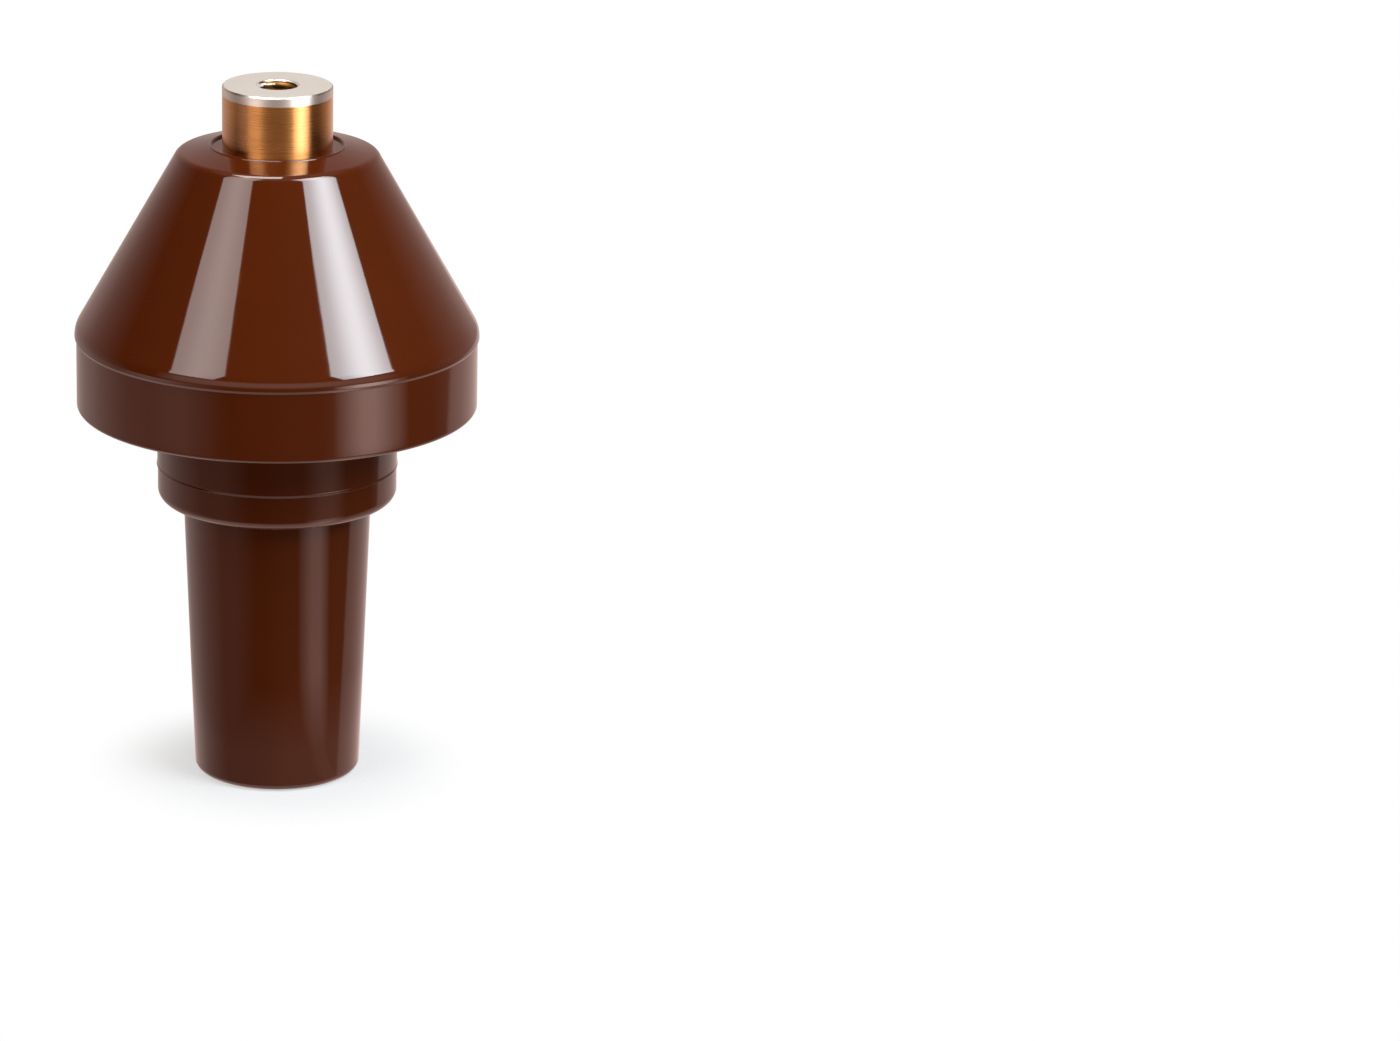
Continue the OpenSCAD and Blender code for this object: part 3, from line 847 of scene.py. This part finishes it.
def plated_end(name, node, face_z, side, sink_r):
    """The silver layer on one end of the bar. Side is 1 at the top and -1 at the foot."""
    t = PLATING_T
    # The layer is as thick on the bevel, so its inner corners are drawn in by tan 22.5 degrees
    mitre = t * 0.414
    corners = [
        (sink_r, 0, 0),
        (BAR_R - BAR_BEVEL, 0, 0.12),
        (BAR_R, BAR_BEVEL, 0.12),
        (BAR_R, PLATING_BAND, 0.04),
        (BAR_R - t, PLATING_BAND, 0),
        (BAR_R - t, BAR_BEVEL + mitre, 0),
        (BAR_R - BAR_BEVEL - mitre, t, 0),
        (sink_r - t, t, 0),
    ]
    points = outline([(r, face_z - side * down, rounding) for r, down, rounding in corners])
    return settle(name, turn(points, BAR_STEPS, SILVER, SILVER_END), [node])


def brass_inserts():
    """Six inserts: a round head with a small chamfer, a hexagon body with a turned waist."""
    sink_r, head, edge, flats = 3.1, 2.5, 0.2, 7.8
    waist_r, waist_len = 3.5, 3
    face, neck, top = INSERT_FACE, INSERT_FACE + head, INSERT_FACE + INSERT_LEN
    waist = (neck + top - waist_len) / 2
    blank = loft([
        circle_ring(sink_r, face),
        circle_ring(INSERT_R - edge, face),
        circle_ring(INSERT_R, face + edge),
        circle_ring(INSERT_R, neck),
        hexagon_ring(flats, neck),
        hexagon_ring(flats, waist),
        circle_ring(waist_r, waist),
        circle_ring(waist_r, waist + waist_len),
        hexagon_ring(flats, waist + waist_len),
        hexagon_ring(flats, top),
    ], BRASS)
    # The face inside the mouth goes, and the tapped hole takes its place
    form = bmesh.new()
    form.from_mesh(blank)
    ends = [f for f in form.faces if len(f.verts) > 4]
    mouth = [f for f in ends if f.calc_center_median().z < face * MM + WELD]
    bmesh.ops.delete(form, geom=mouth, context="FACES_ONLY")
    form.to_mesh(blank)
    form.free()
    tapped = tap(
        blank, INSERT_STEPS, side=-1, mouth_z=face, mouth_r=sink_r,
        core_r=2.5, major_r=3, pitch=1, depth=11.5, finishes=(BRASS, BRASS),
    )
    nodes = [f"insert_{number}" for number in range(1, INSERT_COUNT + 1)]
    return settle("brass_inserts", set_round(tapped), nodes, sharp=30)


def socket_liner():
    """The black shell of the tap socket, a cup with a rounded lip."""
    wall, lip = 0.5, 0.15
    cup = loft([
        socket_ring(SOCKET_FLOOR, wall),
        socket_ring(SOCKET_FACE + lip, wall),
        socket_ring(SOCKET_FACE, wall - lip),
        socket_ring(SOCKET_FACE, lip),
        socket_ring(SOCKET_FACE + lip, 0),
        socket_ring(SOCKET_TOP, 0),
    ], SHELL_BLACK)
    return settle("socket_liner", cup, ["socket_shell"], sharp=50)


def tap_block():
    """The grey block in the middle of the socket, with a bevelled tip."""
    half_w, half_len, corner = 1.3, 2.4, 0.12
    bevel, end_bevel = 0.4, 0.1
    block = loft([
        rounded_ring(SOCKET_FLOOR, half_w, half_len, corner),
        rounded_ring(BLOCK_TIP + bevel, half_w, half_len, corner),
        rounded_ring(BLOCK_TIP, half_w - bevel, half_len - end_bevel, corner),
    ], BLOCK_GREY)
    return settle("tap_block", block, ["contact_block"], sharp=40)


def dress_solids():
    """Gives the solids that keep their own mesh their finishes."""
    finishes = {
        "signal_contact": GILT, "earth_contact": GILT, "tap_electrode": SHEET,
        "signal_lead": WIRE, "earth_lead": WIRE,
    }
    for node, finish in finishes.items():
        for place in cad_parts[node].material_slots:
            place.material = finish


resin_casting()
copper_bar()
plated_end("silver_top", "top_plating", BAR_TOP, 1, TOP_SINK_R)
plated_end("silver_foot", "foot_plating", BAR_FOOT, -1, FOOT_SINK_R)
brass_inserts()
socket_liner()
tap_block()
dress_solids()


# The studio, with its own sizes in metres: a pale floor that runs out into the white, a room
# that the gloss mirrors, three soft boxes, and the camera

def band(tree, value, start, full, fall, end):
    """1 between two values, with a slope down to 0 on each side."""
    up = add(tree, "ShaderNodeMapRange", {"Value": value, "From Min": start, "From Max": full})
    down = add(tree, "ShaderNodeMapRange", {"Value": value, "From Min": end, "From Max": fall})
    return add(tree, "ShaderNodeMath", {0: up, 1: down}, operation="MULTIPLY")


def painted_floor_sheen(tree, mm, away):
    """Painted sheen of the soft boxes: the floor's glow for gloss, at a distance from the axis in
    mm.

    A sheen starts, is full, falls and ends at bearings from the front, in degrees.
    """
    x, y, _ = add(tree, "ShaderNodeSeparateXYZ", {0: mm}).outputs
    front = add(tree, "ShaderNodeMath", {0: 0, 1: y}, operation="SUBTRACT")
    bearing = add(tree, "ShaderNodeMath", {0: x, 1: front}, operation="ARCTAN2")
    bearing = add(tree, "ShaderNodeMath", {0: bearing}, operation="DEGREES")

    # Near the foot, painted sheen: a narrow bright one at the right, a wide faint one at the left,
    # and a ring
    rise = add(tree, "ShaderNodeMapRange", {
        "Value": away, "From Min": 50, "From Max": 110, "To Min": 0.4, "To Max": 1.2,
    })
    fall = add(tree, "ShaderNodeMapRange", {
        "Value": away, "From Min": 240, "From Max": 290, "To Min": 1, "To Max": 0.3,
    })
    right = add(tree, "ShaderNodeMath", {0: rise, 1: fall}, operation="MULTIPLY")
    right = add(
        tree, "ShaderNodeMath", {0: right, 1: band(tree, bearing, 24, 42, 52, 66)},
        operation="MULTIPLY",
    )
    near = add(
        tree, "ShaderNodeMath", {0: band(tree, bearing, -140, -80, -50, -25), 1: 0.2, 2: right},
        operation="MULTIPLY_ADD",
    )
    ring = add(tree, "ShaderNodeMapRange", {
        "Value": away, "From Min": 50, "From Max": 100, "To Min": 0.27, "To Max": 0,
    })
    low = add(tree, "ShaderNodeMath", {0: near, 1: ring}, operation="MAXIMUM")

    # Far out, painted sheen in two belts, each with where it starts and is full, its strength, the
    # left sheen's share of that, and the bearings of the left and the right sheen
    belts = [
        (390, 420, 2.5, 0.1, (-90, -60, -52, -30), (30, 47, 54, 76)),
        (510, 560, 3, 0.2, (-96, -76, -64, -50), (30, 44, 56, 70)),
    ]
    far = 0
    for start, full, strength, share, left_sheen, right_sheen in belts:
        belt = add(tree, "ShaderNodeMapRange", {
            "Value": away, "From Min": start, "From Max": full, "To Min": 0, "To Max": strength,
        })
        sheens = add(tree, "ShaderNodeMath", {
            0: band(tree, bearing, *left_sheen), 1: share, 2: band(tree, bearing, *right_sheen),
        }, operation="MULTIPLY_ADD")
        far = add(tree, "ShaderNodeMath", {0: belt, 1: sheens, 2: far}, operation="MULTIPLY_ADD")
    return add(tree, "ShaderNodeMath", {0: low, 1: far})


def studio_floor():
    """A pale card under the bushing, which thins out to the white room round it.

    For gloss the card is clear and glows with a painted sheen of the soft boxes, near the foot
    and far out. From below the card isn't there, so that the foot can be seen.
    """
    half_size, drop = 1.3, 0.0002
    form = bmesh.new()
    bmesh.ops.create_grid(form, x_segments=8, y_segments=8, size=half_size)
    mesh = bpy.data.meshes.new("studio_floor")
    form.to_mesh(mesh)
    form.free()
    floor = bpy.data.objects.new("studio_floor", mesh)
    scene.collection.objects.link(floor)
    floor.location.z = -drop

    material, tree, mm = finish_tree("floor_card_matt")
    flat = add(tree, "ShaderNodeVectorMath", {0: mm, 1: (1, 1, 0)}, operation="MULTIPLY")
    away = add(tree, "ShaderNodeVectorMath", {0: flat}, operation="LENGTH").outputs["Value"]
    thin = add(tree, "ShaderNodeMapRange", {
        "Value": away, "From Min": 22, "From Max": 60, "To Min": 0.57, "To Max": 1,
    }, interpolation_type="SMOOTHSTEP")
    under = add(tree, "ShaderNodeNewGeometry").outputs["Backfacing"]
    gone = add(tree, "ShaderNodeMath", {0: thin, 1: under}, operation="MAXIMUM")
    card = add(tree, "ShaderNodeBsdfDiffuse", {"Color": linear("#c2c4c5")})
    clear = add(tree, "ShaderNodeBsdfTransparent")
    seen = add(tree, "ShaderNodeMixShader", {0: gone, 1: card, 2: clear})
    # Painted reflection: an emission on the floor that only gloss sees, in place of the soft
    # boxes' sheen
    glow = add(tree, "ShaderNodeEmission", {
        "Color": linear("#ffe2da"), "Strength": painted_floor_sheen(tree, mm, away),
    })
    mirrored = add(tree, "ShaderNodeAddShader", {0: glow, 1: clear})
    gloss = add(tree, "ShaderNodeLightPath").outputs["Is Glossy Ray"]
    shader = add(tree, "ShaderNodeMixShader", {0: gloss, 1: seen, 2: mirrored})
    add(tree, "ShaderNodeOutputMaterial", {"Surface": shader})
    mesh.materials.append(material)


def side_walls(tree, x, y, z):
    """How bright the room's two side walls are, seen from its middle along (x, y, z)."""
    # The left wall grows brighter towards the back and the floor
    lean = add(tree, "ShaderNodeMath", {0: z, 1: -0.6, 2: y}, operation="MULTIPLY_ADD")
    left_wall = add(tree, "ShaderNodeMapRange", {
        "Value": lean, "From Min": 0, "From Max": 0.8, "To Min": 0.02, "To Max": 0.58,
    })
    # The right wall grows brighter towards the back, and the table's end stands out below it
    height = add(tree, "ShaderNodeMath", {0: z}, operation="ABSOLUTE")
    depth = add(tree, "ShaderNodeMath", {0: height, 1: -0.6, 2: y}, operation="MULTIPLY_ADD")
    right_wall = add(tree, "ShaderNodeMapRange", {
        "Value": depth, "From Min": 0, "From Max": 0.9, "To Min": 0.06, "To Max": 0.58,
    })
    slant = add(tree, "ShaderNodeMath", {0: z, 1: -3.3, 2: y}, operation="MULTIPLY_ADD")
    on_table = add(tree, "ShaderNodeMapRange", {
        "Value": slant, "From Min": 1.36, "From Max": 1.42, "To Min": 0, "To Max": 1,
    })
    table = add(tree, "ShaderNodeMath", {0: y, 1: 0.4, 2: 0.52}, operation="MULTIPLY_ADD")
    right = add(
        tree, "ShaderNodeMapRange", {"Value": on_table, "To Min": right_wall, "To Max": table}
    )
    return add(tree, "ShaderNodeMapRange", {
        "Value": x, "From Min": -0.2, "From Max": 0.2, "To Min": left_wall, "To Max": right,
    })


def room_for_gloss(tree, x, y, z):
    """How bright the room is for what mirrors it: walls, white floor and pale ceiling."""
    # A low pale wall in front lights the edges
    front = add(tree, "ShaderNodeMapRange", {
        "Value": y, "From Min": -0.3, "From Max": -0.55, "To Min": 0, "To Max": 0.9,
    })
    walls = add(tree, "ShaderNodeMath", {
        0: band(tree, z, -0.08, 0.05, 0.28, 0.4), 1: front, 2: side_walls(tree, x, y, z),
    }, operation="MULTIPLY_ADD")
    below = add(tree, "ShaderNodeMapRange", {
        "Value": z, "From Min": -0.6, "From Max": -0.8, "To Min": 0, "To Max": 1,
    }, interpolation_type="SMOOTHSTEP")
    lower = add(tree, "ShaderNodeMapRange", {"Value": below, "To Min": walls, "To Max": 0.95})
    above = add(tree, "ShaderNodeMapRange", {
        "Value": z, "From Min": 0.71, "From Max": 0.85, "To Min": 0, "To Max": 1,
    }, interpolation_type="SMOOTHSTEP")
    return add(tree, "ShaderNodeMapRange", {"Value": above, "To Min": lower, "To Max": 0.35})


def studio_room():
    """A white backdrop for the camera, and a room with pale walls for gloss.

    Matt surfaces get most of their light from below, where the pale floor throws it back.
    """
    world = bpy.data.worlds.new("studio_room")
    scene.world = world
    world.use_nodes = True
    world.cycles.sampling_method = "NONE"
    tree = world.node_tree
    tree.nodes.clear()
    way = add(tree, "ShaderNodeTexCoord").outputs["Generated"]
    x, y, z = add(tree, "ShaderNodeSeparateXYZ", {0: way}).outputs
    light = room_for_gloss(tree, x, y, z)
    plain = add(tree, "ShaderNodeMapRange", {
        "Value": z, "From Min": -0.5, "From Max": 0.5, "To Min": 1.15, "To Max": 0.02,
    })
    matt = add(tree, "ShaderNodeBackground", {"Color": linear("#ffffff"), "Strength": plain})
    gloss = add(tree, "ShaderNodeBackground", {"Color": linear("#ffe2da"), "Strength": light})
    white = add(tree, "ShaderNodeBackground", {"Color": linear("#ffffff"), "Strength": 1})
    ray = add(tree, "ShaderNodeLightPath").outputs
    mirrored = add(
        tree, "ShaderNodeMath",
        {0: ray["Is Glossy Ray"], 1: ray["Is Transmission Ray"]}, operation="MAXIMUM",
    )
    unseen = add(tree, "ShaderNodeMixShader", {0: mirrored, 1: matt, 2: gloss})
    room = add(tree, "ShaderNodeMixShader", {0: ray["Is Camera Ray"], 1: unseen, 2: white})
    add(tree, "ShaderNodeOutputWorld", {"Surface": room})


def soft_box(name, bearing, height, width, length, power, hot, dim, tint):
    """A soft box at a bearing from the front and an elevation, in degrees, facing the cone.

    Its cloth is brightest at a share of its width, hot, half a width away it is down to a share,
    dim, and it fades at its edges.
    """
    aim = Vector((0, 0, 0.13))
    distance = 1.1
    b, h = math.radians(bearing), math.radians(height)
    way = Vector((math.sin(b) * math.cos(h), -math.cos(b) * math.cos(h), math.sin(h)))
    lamp = bpy.data.lights.new(name, "AREA")
    lamp.shape = "RECTANGLE"
    lamp.size, lamp.size_y = width, length
    lamp.energy = power
    lamp.use_nodes = True
    tree = lamp.node_tree
    tree.nodes.clear()
    place = add(tree, "ShaderNodeNewGeometry").outputs["Parametric"]
    across, along, _ = add(tree, "ShaderNodeSeparateXYZ", {0: place}).outputs
    edge = 0.035
    fades = []
    for share in (across, along):
        into = add(tree, "ShaderNodeMath", {0: share, 1: 0.5}, operation="PINGPONG")
        fades.append(add(tree, "ShaderNodeMapRange", {
            "Value": into, "From Min": 0, "From Max": edge, "To Min": 0, "To Max": 1,
        }, interpolation_type="SMOOTHSTEP"))
    edges = add(tree, "ShaderNodeMath", {0: fades[0], 1: fades[1]}, operation="MULTIPLY")
    off = add(tree, "ShaderNodeMath", {0: across, 1: hot}, operation="SUBTRACT")
    size = add(tree, "ShaderNodeMath", {0: off}, operation="ABSOLUTE")
    centre = add(tree, "ShaderNodeMapRange", {
        "Value": size, "From Min": 0.5, "From Max": 0, "To Min": dim, "To Max": 1,
    }, interpolation_type="SMOOTHSTEP")
    strength = add(tree, "ShaderNodeMath", {0: edges, 1: centre}, operation="MULTIPLY")
    glow = add(tree, "ShaderNodeEmission", {"Color": linear(tint), "Strength": strength})
    add(tree, "ShaderNodeOutputLight", {"Surface": glow})
    stand = bpy.data.objects.new(name, lamp)
    scene.collection.objects.link(stand)
    stand.location = aim + way * distance
    stand.rotation_euler = way.to_track_quat("Z", "Y").to_euler()
    stand.visible_camera = False


def studio_camera():
    """The photograph's view: about 17 degrees down, with the bushing left of the middle."""
    camera = bpy.data.cameras.new("studio_camera")
    camera.lens = 148.586
    camera.sensor_width = 36
    camera.clip_start = 0.05
    stand = bpy.data.objects.new("studio_camera", camera)
    stand.location = (0, -1.62367, 0.60870)
    stand.rotation_euler = [math.radians(a) for a in (71.8915, -1.3432, -3.9626)]
    scene.collection.objects.link(stand)
    scene.camera = stand


studio_floor()
studio_room()
soft_box(
    "soft_box_left", bearing=-50.5, height=44, width=0.56, length=0.89,
    power=8.2, hot=0.55, dim=0.75, tint="#fff4f0",
)
soft_box(
    "soft_box_right", bearing=54, height=44, width=0.65, length=0.89,
    power=30, hot=0.54, dim=0.5, tint="#f4faff",
)
soft_box(
    "soft_box_above", bearing=-90, height=80, width=0.5, length=0.5,
    power=8, hot=0.5, dim=1, tint="#fff6ec",
)
studio_camera()
scene.view_settings.view_transform = "Standard"
